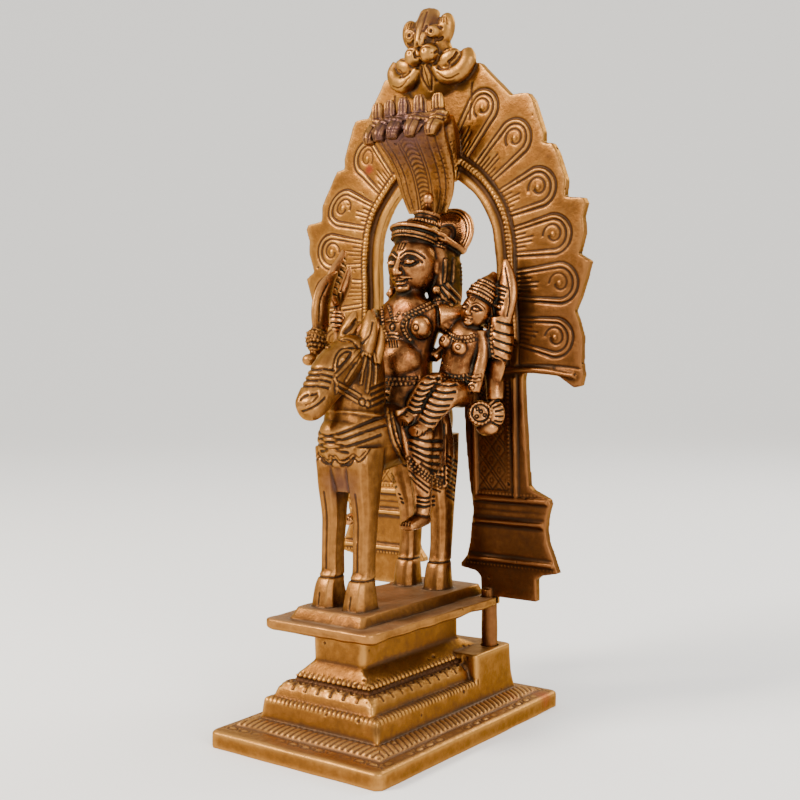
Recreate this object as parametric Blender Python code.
"""Cast brass shrine group: a rider and consort on a horse, an arch behind them and a stepped plinth.

Three castings, one solid each. Up is +Z, the statue faces -Y, and the origin is the middle of the
plinth's underside. Lengths are in metres; MM turns the drawn millimetres into metres.
"""
import math

import bmesh
import bpy
from mathutils import Euler, Matrix, Vector

MM = 0.001
GAP = 0.3 * MM                      # air left between castings that rest on each other

# Plinth
PLINTH_W = 67.5 * MM                # across, left to right
PLINTH_D = 102.0 * MM               # front to back
BASE_EDGE_T = 5.4 * MM              # upright edge of the foot slab
BASE_RISE = 2.8 * MM                # the slab's top climbs this much to the tiers
TIER_W = 47.0 * MM
TIER_D = 77.0 * MM
TIER_H = 6.4 * MM
TIER_IN = 1.6 * MM                  # how far the tier's sides lean in
BODY_W = 40.0 * MM
BODY_D = 72.4 * MM
BODY_H = 5.4 * MM
BODY_IN = 2.0 * MM
BEAD_W = 30.0 * MM                  # beaded moulding above the petals
BEAD_D = 63.0 * MM
BEAD_H = 2.4 * MM
SHOULDER_H = 3.8 * MM               # slope from the beads in to the neck
NECK_W = 20.4 * MM
NECK_FRONT = 28.0 * MM              # neck's front and back faces, from the plinth's middle
NECK_BACK = 23.6 * MM
NECK_H = 10.2 * MM
BLOCK_SIDE = 0.15 * MM              # the socket block at the back is this far inside the tier's foot
BLOCK_IN = 0.9 * MM                 # and leans in by this on each side
BLOCK_FRONT = 18.0 * MM
BLOCK_TOP = 23.0 * MM               # above the table
CORNER_R = 2.6 * MM                 # rounded upright corners of the foot slab
SMALL_R = 1.5 * MM                  # rounded upright corners of the neck, the block and the pad
EDGE = 0.8 * MM                     # bevel on the castings' long edges

# Platform under the horse
PLATFORM_W = 42.6 * MM
PLATFORM_FRONT = 39.0 * MM
PLATFORM_BACK = 34.6 * MM
PLATFORM_T = 3.2 * MM
PAD_W = 29.6 * MM                   # raised pad that the hooves stand on
PAD_FRONT = 34.5 * MM
PAD_BACK = 33.4 * MM
PAD_H = 3.4 * MM
PAD_BEVEL = 1.2 * MM
PLATFORM_R = 3.0 * MM

# Arch
ARCH_Y = 30.6 * MM                  # middle of the plate at its foot
ARCH_T = 2.9 * MM
ARCH_LEAN = math.radians(1.7)       # the arch leans forward over the rider
ARCH_H = 181.5 * MM                 # from the tabs' underside to the plate's top edge
ARCH_DRAWN_H = 181.5                # the height at which the outline below is drawn, in mm
CUT_LOW = 133.0                     # the statue's right side is cut closer above this, in drawn mm
CUT_SPAN = 54.0
CUT_IN = 5.0
CUT_FROM = 17.0
PIN_X = 18.2 * MM
PIN_R = 2.7 * MM
PIN_PLAY = 0.45 * MM                # all round, in the platform and in the block
PIN_INTO_BLOCK = 11.0 * MM
HOLE_FLOOR = 1.0 * MM               # air below the pin's end
PIN_INTO_TAB = 2.2 * MM
CUT_PAST = 5.0 * MM                 # how far a hole's cutter runs past the face it opens in
TAB_OUT = 37.4 * MM                 # tab's outer edge
TAB_MARGIN = 0.2 * MM               # metal between the pin's side and the tab's inner edge
RIM_W = 6.0 * MM                    # plain rim around the opening, inside the rope
ROPE_R = 1.25 * MM

# The group is drawn 135 mm high above the pad
GROUP_H = 135.0 * MM
GROUP_DRAWN_H = 135.0
VOXEL = 0.72 * MM                   # grain to which the group's forms are melted together
THIN_TO = 0.036                     # share of the melted faces that is kept

BASE_TOP = BASE_EDGE_T + BASE_RISE
TIER_TOP = BASE_TOP + TIER_H
BODY_TOP = TIER_TOP + BODY_H
BEAD_TOP = BODY_TOP + BEAD_H
NECK_FOOT = BEAD_TOP + SHOULDER_H
NECK_TOP = NECK_FOOT + NECK_H
PLATFORM_Z = NECK_TOP + GAP
PLATFORM_TOP = PLATFORM_Z + PLATFORM_T
PAD_TOP = PLATFORM_TOP + PAD_H
TAB_Z = PLATFORM_TOP + GAP
HOLE_R = PIN_R + PIN_PLAY
TAB_IN = PIN_X - PIN_R + TAB_MARGIN


def clear_scene():
    for item in list(bpy.data.objects):
        bpy.data.objects.remove(item, do_unlink=True)


def brass(name, colour, roughness):
    material = bpy.data.materials.new(name)
    material.use_nodes = True
    shader = material.node_tree.nodes["Principled BSDF"]
    shader.inputs["Base Color"].default_value = (*colour, 1.0)
    shader.inputs["Metallic"].default_value = 1.0
    shader.inputs["Roughness"].default_value = roughness
    return material


def add_object(name, mesh):
    item = bpy.data.objects.new(name, mesh)
    bpy.context.scene.collection.objects.link(item)
    return item


def mesh_from(bm, name):
    """Close a bmesh into a mesh with its faces pointing out."""
    bmesh.ops.recalc_face_normals(bm, faces=bm.faces)
    mesh = bpy.data.meshes.new(name)
    bm.to_mesh(mesh)
    bm.free()
    return mesh


def absorb(bm, other):
    """Copy one bmesh into another and free it."""
    mesh = bpy.data.meshes.new("form")
    bmesh.ops.recalc_face_normals(other, faces=other.faces)
    other.to_mesh(mesh)
    other.free()
    bm.from_mesh(mesh)
    bpy.data.meshes.remove(mesh)


def blob(bm, centre, radii, turn=(0, 0, 0), segments=12, rings=8):
    """An ellipsoid; turn is in degrees about X, Y and Z."""
    form = bmesh.new()
    bmesh.ops.create_uvsphere(form, u_segments=segments, v_segments=rings, radius=1.0)
    rotation = Euler([math.radians(a) for a in turn]).to_matrix().to_4x4()
    matrix = Matrix.Translation(centre) @ rotation @ Matrix.Diagonal((*radii, 1.0))
    bmesh.ops.transform(form, matrix=matrix, verts=form.verts)
    absorb(bm, form)


def ring_frames(points):
    """A direction and two side vectors at each point of a path, without twist."""
    count = len(points)
    side = None
    for i, point in enumerate(points):
        ahead = (points[min(i + 1, count - 1)] - points[max(i - 1, 0)]).normalized()
        if side is None:
            start = Vector((1, 0, 0)) if abs(ahead.x) < 0.8 else Vector((0, 1, 0))
            side = (start - ahead * start.dot(ahead)).normalized()
        else:
            side = (side - ahead * side.dot(ahead)).normalized()
        yield point, side, ahead.cross(side)


def smooth_path(points, steps):
    """Catmull-Rom points through a list of equal-length tuples."""
    rows = [Vector(p) for p in points]
    rows = [rows[0] * 2 - rows[1]] + rows + [rows[-1] * 2 - rows[-2]]
    path = []
    for i in range(1, len(rows) - 2):
        a, b, c, d = rows[i - 1:i + 3]
        for k in range(steps):
            t = k / steps
            path.append(0.5 * ((2 * b) + (c - a) * t + (2 * a - 5 * b + 4 * c - d) * t ** 2
                               + (3 * b - 3 * c + d - a) * t ** 3))
    path.append(rows[-2])
    return path


def limb(bm, stations, sides=8, steps=2):
    """A closed limb through stations (x, y, z, half width, half depth)."""
    centres = smooth_path([s[:3] for s in stations], steps)
    sizes = smooth_path([(s[3], s[4], 0.0) for s in stations], steps)
    form = bmesh.new()
    loops = []
    for (point, side, depth), size in zip(ring_frames(centres), sizes):
        loop = []
        for k in range(sides):
            a = 2 * math.pi * (k + 0.5) / sides
            around = side * size.x * math.cos(a) + depth * size.y * math.sin(a)
            loop.append(form.verts.new(point + around))
        loops.append(loop)
    for lower, upper in zip(loops, loops[1:]):
        for k in range(sides):
            form.faces.new((lower[k], lower[(k + 1) % sides], upper[(k + 1) % sides], upper[k]))
    form.faces.new(loops[0][::-1])
    form.faces.new(loops[-1])
    absorb(bm, form)


def slab(bm, outline, place, thickness):
    """An outline of (u, v) pushed out by the thickness; place turns (u, v, w) into a point."""
    form = bmesh.new()
    front = [form.verts.new(place(u, v, -thickness / 2)) for u, v in outline]
    back = [form.verts.new(place(u, v, thickness / 2)) for u, v in outline]
    form.faces.new(front)
    form.faces.new(back[::-1])
    count = len(outline)
    for k in range(count):
        form.faces.new((front[k], back[k], back[(k + 1) % count], front[(k + 1) % count]))
    absorb(bm, form)


def rounded_rectangle(width, front, back, radius, steps=3):
    """Corner-rounded outline in plan, from -width/2 to width/2 and from -front to back."""
    points = []
    corners = ((width / 2, back, 0), (-width / 2, back, 90), (-width / 2, -front, 180),
               (width / 2, -front, 270))
    for x, y, start in corners:
        cx = x - math.copysign(radius, x)
        cy = y - math.copysign(radius, y)
        for k in range(steps + 1):
            a = math.radians(start + 90 * k / steps)
            points.append((cx + radius * math.cos(a), cy + radius * math.sin(a)))
    return points


def stack(bm, levels):
    """A closed body from plan outlines with equal point counts, each with its height."""
    form = bmesh.new()
    loops = [[form.verts.new((x, y, z)) for x, y in outline] for outline, z in levels]
    for lower, upper in zip(loops, loops[1:]):
        count = len(lower)
        for k in range(count):
            form.faces.new((lower[k], lower[(k + 1) % count], upper[(k + 1) % count], upper[k]))
    form.faces.new(loops[0][::-1])
    form.faces.new(loops[-1])
    absorb(bm, form)


def boolean(item, tool, operation, own_overlaps=False):
    modifier = item.modifiers.new(tool.name, "BOOLEAN")
    modifier.operation = operation
    modifier.solver = "EXACT"
    modifier.use_self = own_overlaps
    modifier.object = tool
    tool.hide_render = True
    tool.display_type = "WIRE"


def pin_cutter(name, low, high):
    """Two upright cylinders that cut the pins' holes."""
    bm = bmesh.new()
    for x in (-PIN_X, PIN_X):
        form = bmesh.new()
        bmesh.ops.create_cone(form, cap_ends=True, segments=20, radius1=HOLE_R, radius2=HOLE_R,
                              depth=high - low)
        bmesh.ops.translate(form, vec=(x, ARCH_Y, (low + high) / 2), verts=form.verts)
        absorb(bm, form)
    return add_object(name, mesh_from(bm, name))


def build_plinth():
    def tier(width, depth, radius):
        return rounded_rectangle(width, depth / 2, depth / 2, radius)

    bm = bmesh.new()
    neck = rounded_rectangle(NECK_W, NECK_FRONT, NECK_BACK, SMALL_R)
    soft = EDGE
    stack(bm, [
        (tier(PLINTH_W, PLINTH_D, CORNER_R), 0.0),
        (tier(PLINTH_W, PLINTH_D, CORNER_R), BASE_EDGE_T - soft),
        (tier(PLINTH_W - 2 * soft, PLINTH_D - 2 * soft, CORNER_R - soft), BASE_EDGE_T),
        (tier(TIER_W, TIER_D, soft), BASE_TOP),
        (tier(TIER_W - TIER_IN, TIER_D - TIER_IN, soft), TIER_TOP - soft),
        (tier(TIER_W - TIER_IN - 2 * soft, TIER_D - TIER_IN - 2 * soft, soft), TIER_TOP),
        (tier(BODY_W, BODY_D, soft), TIER_TOP + GAP),
        (tier(BODY_W - BODY_IN, BODY_D - BODY_IN, soft), TIER_TOP + BODY_H * 0.6),
        (tier(BODY_W - 2 * BODY_IN, BODY_D - 2 * BODY_IN, soft), BODY_TOP - soft),
        (tier(BEAD_W, BEAD_D, soft), BODY_TOP),
        (tier(BEAD_W, BEAD_D, soft), BEAD_TOP - soft),
        (tier(BEAD_W - 2 * soft, BEAD_D - 2 * soft, soft), BEAD_TOP),
        (neck, NECK_FOOT),
        (neck, NECK_TOP),
    ])
    plinth = add_object("plinth", mesh_from(bm, "plinth"))
    bm = bmesh.new()
    half_w = TIER_W / 2 - BLOCK_SIDE
    back = TIER_D / 2 - BLOCK_SIDE
    low = rounded_rectangle(2 * half_w, -BLOCK_FRONT, back, SMALL_R)
    top = rounded_rectangle(2 * (half_w - BLOCK_IN), -BLOCK_FRONT - BLOCK_IN, back - BLOCK_IN, SMALL_R)
    stack(bm, [(low, BASE_EDGE_T), (top, BLOCK_TOP)])
    block = add_object("socket_block", mesh_from(bm, "socket_block"))
    boolean(plinth, block, "UNION")
    holes = pin_cutter("block_holes", BLOCK_TOP - PIN_INTO_BLOCK - HOLE_FLOOR, BLOCK_TOP + CUT_PAST)
    boolean(plinth, holes, "DIFFERENCE")
    plinth.data.materials.append(brass("plinth_brass", (0.42, 0.20, 0.06), 0.42))
    return plinth


def both(function):
    """Call a function for the statue's left (+1) and right (-1)."""
    for side in (1, -1):
        function(side)


def horse(bm):
    limb(bm, [(0, -30, 49, 3, 5), (0, -27, 50, 8, 10), (0, -15, 52, 10.4, 12), (0, 0, 53, 10.2, 10.6),
              (0, 12, 55, 10.6, 11.6), (0, 21.5, 55, 8.5, 10), (0, 26, 54, 4, 5)], sides=14)
    limb(bm, [(0, -18.6, 36, 8.4, 6.6), (0, -18.6, 44, 9.4, 9.0), (0, -18.6, 52, 9.4, 9.6)], sides=10,
         steps=1)
    limb(bm, [(0, -20, 48, 8.6, 11), (0, -18.5, 58, 8.2, 11.6), (0, -16, 67, 7, 10.6),
              (0, -13.5, 76, 5.6, 8.4),
              (0, -14.5, 83, 4.6, 6)], sides=12)
    limb(bm, [(0, -10, 78.5, 5.0, 5.6), (0, -19, 81, 5.6, 7.2), (0, -28.5, 74.5, 5.3, 7.0),
              (0, -36, 67, 4.8, 5.6), (0, -41, 62, 4.2, 4.6), (0, -42.6, 60.4, 2.6, 3)], sides=10)

    def one_side(s):
        limb(bm, [(s * 6, -21, 50, 4.5, 7), (s * 6.3, -21.5, 38, 4.0, 5.6), (s * 6.3, -21.6, 28, 3.5, 3.9),
                  (s * 6.3, -22.4, 17, 3.2, 3.5), (s * 6.3, -22.6, 10.5, 3.4, 3.6),
                  (s * 6.3, -24, 6, 4.2, 5.0),
                  (s * 6.3, -24.4, -1.0, 4.8, 5.9)], sides=8)
        limb(bm, [(s * 6.4, 18, 52, 5.2, 9), (s * 6.6, 18.4, 40, 4.7, 7.4), (s * 6.4, 19.6, 28, 3.7, 4.9),
                  (s * 6.4, 19.4, 18, 3.3, 4.0), (s * 6.4, 18.6, 10.5, 3.4, 3.8),
                  (s * 6.4, 17.6, 6, 4.0, 4.6),
                  (s * 6.4, 17.2, -1.0, 4.5, 5.4)], sides=8)
        limb(bm, [(s * 3.6, -15.5, 82, 2.6, 2.0), (s * 4.2, -13.5, 87, 2.7, 1.5),
                  (s * 4.4, -12, 91, 1.0, 0.8)], sides=6)
        blob(bm, (s * 5.0, -24.5, 78.5), (1.6, 2.6, 2.2), (40, 0, 0), 8, 6)
    both(one_side)
    limb(bm, [(0, 21, 62, 4.8, 3.4), (0, 26.4, 56, 5.0, 3.4), (0, 28.8, 46, 4.8, 3.2),
              (0, 29.4, 36, 4.2, 2.8),
              (0, 28.8, 27, 1.8, 1.6)], sides=8)
    limb(bm, [(0, -33.2, 71.8, 5.4, 0.9), (0, -32.6, 72.6, 5.7, 6.6), (0, -31.6, 73.6, 5.4, 0.9)], sides=10,
         steps=1)
    for y, z, rx, ry in ((-19, 54.5, 9.6, 12.2), (-18, 60, 8.9, 12.0)):
        limb(bm, [(0, y - 0.2, z - 1.4, rx * 0.8, ry * 0.8), (0, y, z, rx, ry),
                  (0, y + 0.2, z + 1.4, rx * 0.8, ry * 0.8)],
             sides=12, steps=1)
    limb(bm, [(9.4, 2, 62, 3, 12), (11.8, 3, 50, 3.0, 11.5), (12.0, 4, 41, 2.2, 10)], sides=8)
    limb(bm, [(-9.4, 2, 62, 3, 12), (-11.8, 3, 50, 3.0, 11.5), (-12.0, 4, 41, 2.2, 10)], sides=8)


def rider(bm):
    limb(bm, [(0, 7, 60, 9, 11), (0, 7.5, 66, 9.8, 9.5), (0, 8.5, 73, 9.2, 8.5), (0, 9.2, 80, 9.6, 7.0),
              (0, 10, 88, 11.8, 7.4), (0, 10.4, 94, 11, 6.4), (0, 10.6, 98.5, 5.2, 5.0),
              (0, 10.6, 103, 4.4, 4.4)], sides=14)
    blob(bm, (0, 6.6, 76.6), (8.6, 8.4, 8.6))
    blob(bm, (0, 11.4, 107.6), (7.4, 8.4, 10.2), (-6, 0, 0), 14, 10)
    limb(bm, [(0, 12.4, 112.4, 8.3, 9.2), (0, 14.2, 115.8, 8.8, 9.6), (0, 16.0, 119.6, 8.4, 8.8),
              (0, 17.6, 123.0, 6.6, 6.8),
              (0.8, 17.8, 125.8, 4.2, 4.2), (1.8, 18.4, 128.6, 2.4, 2.4)], sides=12, steps=1)
    blob(bm, (2.8, 18.8, 132.0), (2.3, 2.3, 2.7), segments=10, rings=8)
    limb(bm, [(1.5, 18, 117, 3.0, 3.0), (3.0, 27.5, 118.4, 3.2, 3.2)], sides=8)
    limb(bm, [(3.4, 26.4, 118.9, 10.6, 8.8), (3.4, 27.4, 118.5, 12, 10), (3.4, 28.4, 118.1, 10.6, 8.8)],
         sides=20, steps=1)

    def one_side(s):
        blob(bm, (s * 9.4, 4.4, 87.6), (3.4, 4.4, 3.8), (-20, 0, s * 18), 8, 6)
        limb(bm, [(s * 5.6, 15.4, 112, 3.2, 4.0), (s * 7.4, 17.2, 105, 3.8, 4.4),
                  (s * 8.0, 16.6, 97, 4.2, 4.6),
                  (s * 8.4, 15.4, 91, 3.4, 3.4)], sides=6)
        blob(bm, (s * 7.4, 10.6, 103.4), (1.6, 2.2, 3.4), segments=8, rings=6)
        limb(bm, [(s * 6, 10, 64, 6, 7), (s * 12.5, 0, 60, 5.2, 5.6), (s * 14.2, -3.4, 52, 4.4, 4.8),
                  (s * 13.0, -1.0, 40, 3.5, 4.0), (s * 12.2, 0.6, 31, 2.9, 3.0),
                  (s * 12.0, 0.2, 27.4, 2.8, 3.2)], sides=8)
        limb(bm, [(s * 12.0, 2.6, 26.0, 2.4, 2.4), (s * 12.0, -3, 25.2, 2.8, 2.3),
                  (s * 12.2, -8.6, 24.4, 2.6, 1.5)], sides=8)
    both(one_side)

    # Right arms: the front hand grips a broad leaf-shaped sword, the back hand a trident
    limb(bm, [(-11, 9.6, 91.5, 4.4, 4.4), (-17, 7, 86, 3.8, 3.8), (-21.6, 0, 80.5, 3.1, 3.1),
              (-21, -8, 81, 2.8, 2.8), (-20.4, -13, 82.6, 2.8, 2.8)], sides=8)
    blob(bm, (-20.2, -13.4, 83.4), (3.4, 3.6, 4.8), (20, 0, 0), 10, 8)
    limb(bm, [(-20, -17.0, 76.6, 1.2, 1.2), (-20, -14, 81, 1.5, 1.5), (-20, -12, 88, 1.6, 1.6)], sides=6)
    blob(bm, (-20, -17.2, 77.4), (2.4, 2.4, 2.0), segments=8, rings=6)
    leaf = [(-15.4, 87.4), (-15.4, 93), (-14.0, 98), (-10.6, 102.4), (-6.6, 105.4), (-2.4, 106.8),
            (-4.2, 101.6), (-6.2, 95), (-7.6, 87.4)]
    slab(bm, leaf, lambda u, v, w: Vector((-20.2 + w, u, v)), 2.4)
    limb(bm, [(-12, 12, 91.5, 4.2, 4.2), (-19, 12.6, 87, 3.5, 3.5), (-24, 9, 86, 3.0, 3.0),
              (-24.4, 4, 89, 2.8, 2.8)], sides=8)
    blob(bm, (-24.2, 2.6, 90.6), (3.2, 3.4, 4.0), segments=10, rings=8)
    limb(bm, [(-24.2, 2.4, 81, 1.3, 1.3), (-24.2, 2.4, 100.4, 1.5, 1.5)], sides=6, steps=1)
    for y, top, lean in ((-3.6, 109.0, -0.6), (2.4, 115.6, 0.4), (7.2, 110.6, 1.6)):
        limb(bm, [(-24.2, 2.4 + (y - 2.4) * 0.3, 99, 1.4, 1.4), (-24.2, y, 104, 1.6, 1.5),
                  (-24.2, y + lean, top, 0.7, 0.7)],
             sides=6)

    # Left arms: the back hand grips a curved horn-shaped blade, the front hand holds a cup of petals
    limb(bm, [(11, 10.6, 91.5, 4.4, 4.4), (19, 15, 90, 3.9, 3.9), (25.6, 19, 88.6, 3.6, 3.6),
              (29.4, 19.6, 87.4, 3.2, 3.2)],
         sides=8)
    limb(bm, [(29.8, 19.6, 90.6, 4.2, 3.8), (30.2, 19.4, 84, 4.6, 4.6), (29.2, 19.4, 77.4, 4.2, 3.9)],
         sides=8)
    limb(bm, [(27.6, 20, 109.4, 1.0, 0.8), (29.6, 19.8, 104, 2.8, 1.8), (31.0, 19.4, 97, 3.4, 2.4),
              (31.0, 19, 88, 2.8, 2.4),
              (29.4, 19, 77, 3.2, 2.2), (27.6, 19.2, 70.4, 2.8, 1.7), (26.0, 19.6, 65, 0.9, 0.8)], sides=8)
    limb(bm, [(12, 13, 90, 4.2, 4.2), (19.6, 19.4, 82, 3.6, 3.6), (24.6, 20.4, 73, 3.2, 3.2),
              (25.4, 18.4, 64, 2.8, 2.8)],
         sides=8)
    blob(bm, (25.2, 17.4, 59.0), (4.6, 4.2, 4.4), segments=10, rings=8)
    limb(bm, [(25.2, 15.6, 61.2, 2.6, 2.2), (24.4, 13.2, 60.4, 4.0, 3.2), (24.2, 12.4, 60.2, 3.6, 2.8)],
         sides=10, steps=1)


def consort(bm):
    limb(bm, [(14.6, 15, 66, 6, 6), (17.2, 13.6, 71, 6.2, 6.0), (18.2, 13.8, 76.5, 4.6, 4.8),
              (19.0, 14.4, 82, 5.8, 5.0),
              (19.8, 16, 86.4, 5.4, 4.4), (20.4, 17.6, 89.6, 2.6, 2.6), (20.6, 18, 92, 2.4, 2.4)], sides=10)
    blob(bm, (21.0, 17.6, 93.6), (4.6, 5.0, 5.6), (0, 16, 0), 12, 8)
    limb(bm, [(21.6, 18.8, 96.6, 5.2, 5.6), (22.4, 20.4, 100.2, 4.2, 4.4), (23.2, 22.2, 104, 2.4, 2.6),
              (23.8, 23.2, 107, 1.0, 1.0)],
         sides=10, steps=1)
    for x, y in ((15.0, 9.4), (20.4, 9.2)):
        blob(bm, (x, y, 83.2), (2.9, 3.2, 3.0), segments=8, rings=6)
    limb(bm, [(15.6, 14, 66, 5, 5), (15.2, 4, 68.4, 4.8, 4.8), (13.8, -2, 64, 4.0, 4.0),
              (12.8, -5, 58.8, 3.0, 3.2)], sides=10)
    limb(bm, [(19.2, 13, 66, 4.6, 4.8), (19.6, 4.4, 66.0, 4.8, 4.8), (17.8, -1.6, 61, 3.9, 4.0),
              (16.8, -4.4, 56.0, 3.0, 3.2)],
         sides=10)
    limb(bm, [(12.8, -4, 59.6, 2.4, 2.2), (12.2, -9.8, 57.6, 2.5, 1.7)], sides=8, steps=1)
    limb(bm, [(16.8, -3.4, 56.6, 2.4, 2.2), (16.2, -9.6, 54.6, 2.5, 1.7)], sides=8, steps=1)
    limb(bm, [(23.6, 16.6, 86.6, 2.4, 2.4), (26.0, 14.6, 79, 2.2, 2.2), (24.0, 11.6, 72.6, 2.0, 2.0),
              (20, 8.6, 69.4, 1.9, 1.9)],
         sides=6)
    limb(bm, [(15.4, 16.4, 86.4, 2.3, 2.3), (11.6, 15, 81, 2.0, 2.0), (9.6, 10.8, 77.6, 1.8, 1.8)], sides=6)


def build_group():
    bm = bmesh.new()
    horse(bm)
    rider(bm)
    consort(bm)
    for vert in bm.verts:
        vert.co = vert.co * (GROUP_H / GROUP_DRAWN_H) + Vector((0, 0, PAD_TOP))
    figures = add_object("figures", mesh_from(bm, "figures"))
    melt = figures.modifiers.new("melt", "REMESH")
    melt.mode = "VOXEL"
    melt.voxel_size = VOXEL
    thin = figures.modifiers.new("thin", "DECIMATE")
    thin.ratio = THIN_TO
    thin.use_collapse_triangulate = True

    plate = rounded_rectangle(PLATFORM_W, PLATFORM_FRONT, PLATFORM_BACK, PLATFORM_R)
    under = rounded_rectangle(PLATFORM_W - 2 * EDGE, PLATFORM_FRONT - EDGE, PLATFORM_BACK - EDGE / 2,
                              PLATFORM_R)
    pad_low = rounded_rectangle(PAD_W, PAD_FRONT, PAD_BACK, SMALL_R)
    pad_top = rounded_rectangle(PAD_W - 2 * PAD_BEVEL, PAD_FRONT - 2 * PAD_BEVEL, PAD_BACK - PAD_BEVEL,
                                SMALL_R)
    bm = bmesh.new()
    stack(bm, [(under, PLATFORM_Z), (plate, PLATFORM_Z + EDGE), (plate, PLATFORM_TOP),
               (pad_low, PLATFORM_TOP),
               (pad_top, PAD_TOP)])
    group = add_object("rider_group", mesh_from(bm, "rider_group"))
    boolean(group, figures, "UNION")
    holes = pin_cutter("platform_holes", PLATFORM_Z - CUT_PAST, PLATFORM_TOP + CUT_PAST)
    boolean(group, holes, "DIFFERENCE")
    group.data.materials.append(brass("figure_brass", (0.45, 0.21, 0.07), 0.38))
    return group


def arch_outline():
    """Right half of the plate's outer edge in drawn mm, from the crown's middle down to the tab.

    Each lobe is a shoulder, a tip and a side; the notches between lobes are where the runs meet.
    """
    crown = [(0, 186), (9, 184), (15.4, 176.4)]
    lobe_1 = [(17.4, 178.2), (20, 178.2), (26, 171.8), (31.6, 166)]
    lobe_2 = [(35, 166.2), (38.2, 165.8), (40, 163.2), (43.4, 153), (43.3, 149.4)]
    lobe_3 = [(46.6, 148.8), (48.2, 146), (51.3, 136.6), (50.6, 131.6)]
    lobe_4 = [(53, 131.2), (57.3, 130.8), (58.2, 129), (56.9, 125), (57.2, 120), (55.2, 113.2)]
    lobe_5 = [(59.2, 110.8), (57.4, 105.4), (55.4, 99.6), (53.4, 95.4)]
    lobe_6 = [(54.8, 91.6), (56, 87), (55.4, 79), (56, 75), (55.1, 71.6), (52.6, 71), (49.4, 73), (45, 76),
              (40, 76.8)]
    return crown + lobe_1 + lobe_2 + lobe_3 + lobe_4 + lobe_5 + lobe_6 + [(34.6, 76.8)]


def leg_outer():
    """Outer side of the pilaster, its neck and its flared foot."""
    return [(33.9, 73), (33.9, 66.5), (34.4, 53.4), (35.2, 38.4), (36.8, 36.8), (42.8, 34.4), (43.4, 32.8),
            (41.9, 28.6), (41.2, 24), (41.8, 20), (43.8, 15), (45.7, 10.2), (39.2, 8.8)]


def leg_inner():
    """Inner side of the pilaster, from the foot up to the shelf that the opening stands on."""
    return [(14.0, 8.0), (7.7, 9.0), (7.9, 10.4), (10.3, 13.2), (11.6, 18), (12.3, 23), (13.1, 28.6),
            (12.4, 36),
            (11.5, 46), (10.7, 56), (10.5, 68), (12.4, 73), (16, 76.4), (24.6, 77.6)]


def opening(grow=0.0):
    """Right half of the opening's edge from the shelf to the pointed top, moved out by grow."""
    points = [(24.6, 77.6), (25.0, 90), (24.4, 103), (24.4, 113), (23.8, 120), (22.4, 126), (18.8, 132.6),
              (12.4, 139), (0, 147)]
    path = smooth_path(points, 2)
    grown = []
    for i, point in enumerate(path):
        along = (path[min(i + 1, len(path) - 1)] - path[max(i - 1, 0)]).normalized()
        grown.append((point.x + along.y * grow, point.y - along.x * grow))
    grown[-1] = (0.0, path[-1].y + grow * 1.15)
    return grown


def arch_place(u, v, w):
    """A drawn point of the arch (across, up, back) on the leaning plate, closer cut at its top right."""
    scale = ARCH_H / ARCH_DRAWN_H
    if u < -CUT_FROM and v > CUT_LOW:
        u += CUT_IN * math.sin(math.pi * min(1.0, (v - CUT_LOW) / CUT_SPAN)) * min(1.0,
                                                                                   (-u - CUT_FROM) / CUT_FROM)
    lean = Matrix.Rotation(ARCH_LEAN, 4, "X")
    return Vector((0, ARCH_Y, TAB_Z)) + lean @ Vector((u * scale, w, v * scale))


def spiral_centres():
    return ((20.6, 163.4), (32.6, 152), (41, 135.4), (46.2, 120), (48.2, 104.4), (46.2, 87))


def arch_point(u, v, out):
    """A drawn point standing out in front of the plate's face by out, in mm."""
    return arch_place(u, v, -ARCH_T / 2 - out * MM)


def arch_limb(bm, stations, sides=6, steps=1):
    """A limb given in the plate's own drawn mm as (u, v, out, half width, half depth)."""
    rows = [(*arch_point(u, v, out), a * MM, b * MM) for u, v, out, a, b in stations]
    limb(bm, rows, sides, steps)


def arch_blob(bm, u, v, out, radii, turn=(0, 0, 0), segments=10, rings=7):
    blob(bm, arch_point(u, v, out), [r * MM for r in radii], turn, segments, rings)


def arch_relief(bm):
    """Carving that shows from a step away: rope, spirals, petal bands, pilaster frames, mouldings."""
    rope = opening(RIM_W / MM)
    rope = [(u, v) for u, v in rope if v > 84]
    path = rope + [(-u, v) for u, v in rope[-2::-1]]
    arch_limb(bm, [(u, v, 0.2, ROPE_R / MM, ROPE_R / MM) for u, v in path])

    def one_side(s):
        for i, (u, v) in enumerate(spiral_centres()):
            arch_limb(bm, [(s * u, v, -0.6, 3.2, 3.2), (s * u, v, 0.5, 3.2, 3.2),
                           (s * u, v, 0.9, 1.4, 1.4)], sides=10)
        for inner in (14.6, 30.4):
            arch_limb(bm, [(s * inner, 34, -0.3, 1.0, 0.9), (s * inner, 74, -0.3, 1.0, 0.9)], sides=6)
        for v, low, high in ((33.4, 13.8, 42.2), (25.6, 13.8, 40.6), (12.6, 11.2, 43.8)):
            arch_limb(bm, [(s * low, v, -0.3, 1.1, 1.0), (s * high, v, -0.3, 1.1, 1.0)], sides=6)
        arch_limb(bm, [(s * 16, 76.0, -0.3, 1.2, 1.1), (s * 38, 76.6, -0.3, 1.2, 1.1),
                       (s * 53.6, 74.6, -0.3, 1.0, 1.0)], sides=6)
    both(one_side)


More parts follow.
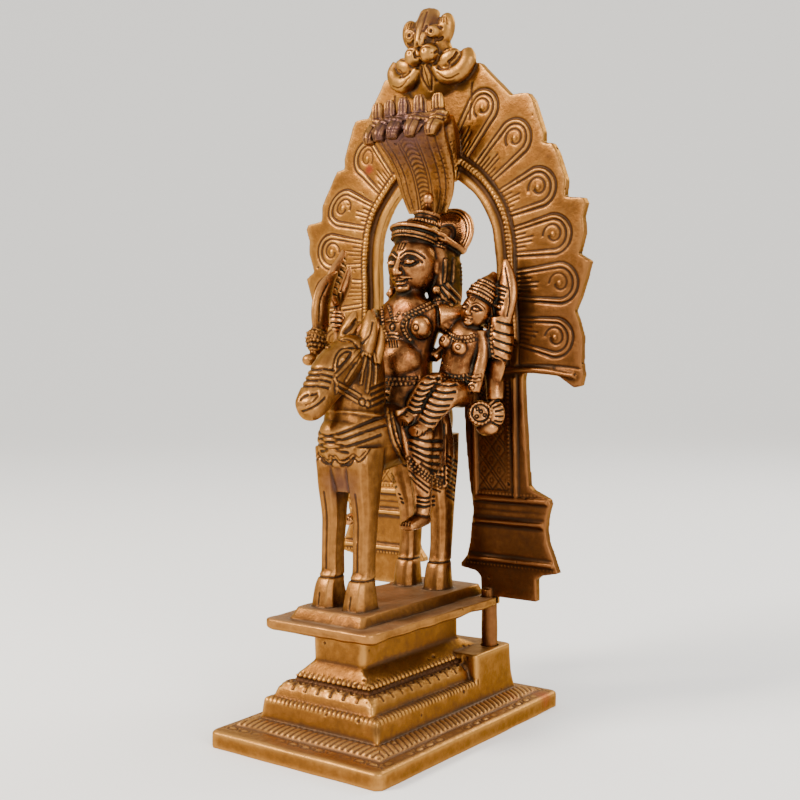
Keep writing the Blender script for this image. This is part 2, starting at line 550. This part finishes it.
def hood(bm):
    """Five serpent heads on a spread hood that leans out over the rider."""
    arch_limb(bm, [(0, 126, 0.2, 9.2, 1.4), (0, 133, 0.6, 10.6, 1.6), (0, 141, 3.0, 13, 2.1),
                   (0, 149, 8.0, 16.2, 2.8),
                   (0, 155.6, 12.4, 18.4, 2.8), (0, 160, 15.0, 18.2, 2.2)], sides=12)
    arch_limb(bm, [(0, 146, 1.0, 13, 4.6), (0, 154, 5, 15.4, 7.6), (0, 160.4, 9, 15.8, 6)], sides=10)
    for k in range(-2, 3):
        u = k * 7.3
        drop = abs(k) * 0.5
        arch_limb(bm, [(u, 161.6 - drop, 10, 3.4, 3.2), (u, 160.2 - drop, 16.4, 3.5, 3.4),
                       (u, 155.8 - drop, 20.4, 2.6, 2.2)],
                  sides=8)
        arch_limb(bm, [(u, 160, 13.4, 2.5, 1.5), (u, 165.6 - drop, 13.2, 2.4, 1.4),
                       (u, 167.6 - drop, 13.2, 1.4, 0.9)], sides=8)


def lion_mask(bm):
    """The face at the top of the arch: ridge, ringed eyes, lobes, snout, curled cheeks, tongue."""
    arch_limb(bm, [(0, 172, 0, 12, 3), (0, 182, 1.0, 13.4, 4.4), (0, 188, 1.2, 11.6, 4.6),
                   (0, 194, 0.8, 9.4, 3.6)], sides=10)
    arch_limb(bm, [(0, 198.4, 0.4, 3.6, 2.6), (0, 192, 3.6, 3.8, 3.0), (0, 186, 6.6, 2.8, 2.6)], sides=8)

    def one_side(s):
        arch_blob(bm, s * 7.2, 191.6, 1.2, (4.5, 3.4, 6.2), (0, s * 10, 0))
        arch_blob(bm, s * 5.0, 190.0, 4.8, (2.3, 1.8, 2.3), segments=8, rings=6)
        arch_blob(bm, s * 2.6, 183.6, 7.0, (2.7, 2.6, 2.5))
        arch_limb(bm, [(s * 5.4, 183.6, 3.4, 3, 2.6), (s * 10.4, 182.0, 3.0, 4.0, 2.8),
                       (s * 15.0, 179.4, 1.6, 4.4, 2.6),
                       (s * 16.0, 175.6, 0.4, 3.0, 2.0)], sides=8)
        arch_limb(bm, [(s * 3.4, 178.6, 4.6, 1.6, 1.6), (s * 8.6, 176.0, 4.0, 2.2, 1.8),
                       (s * 13.6, 178.0, 2.4, 1.8, 1.4)], sides=6)
    both(one_side)
    arch_blob(bm, 0, 182.6, 7.6, (4.0, 3.2, 3.4))
    arch_limb(bm, [(0, 180, 3.6, 2.4, 2.0), (0, 171.4, 1.0, 1.5, 1.2)], sides=6)


def build_arch():
    scale = ARCH_H / ARCH_DRAWN_H
    tab_in = TAB_IN / scale
    tab_out = TAB_OUT / scale
    half = arch_outline() + leg_outer() + [(tab_out, 7.4), (tab_out, 0.0), (tab_in, 0.0), (tab_in, 6.4)]
    half += leg_inner() + opening()[1:]
    bm = bmesh.new()
    slab(bm, half + [(-u, v) for u, v in half[-2:0:-1]], arch_place, ARCH_T)
    arch = add_object("arch", mesh_from(bm, "arch"))

    bm = bmesh.new()
    arch_relief(bm)
    hood(bm)
    lion_mask(bm)
    boolean(arch, add_object("arch_carving", mesh_from(bm, "arch_carving")), "UNION", own_overlaps=True)

    bm = bmesh.new()
    pin_low = BLOCK_TOP - PIN_INTO_BLOCK
    pin_high = TAB_Z + PIN_INTO_TAB
    for x in (-PIN_X, PIN_X):
        form = bmesh.new()
        bmesh.ops.create_cone(form, cap_ends=True, segments=18, radius1=PIN_R, radius2=PIN_R,
                              depth=pin_high - pin_low)
        bmesh.ops.translate(form, vec=(x, ARCH_Y, (pin_low + pin_high) / 2), verts=form.verts)
        absorb(bm, form)
    boolean(arch, add_object("arch_pins", mesh_from(bm, "arch_pins")), "UNION")
    arch.data.materials.append(brass("arch_brass", (0.50, 0.27, 0.08), 0.40))
    return arch


clear_scene()
build_plinth()
build_group()
build_arch()
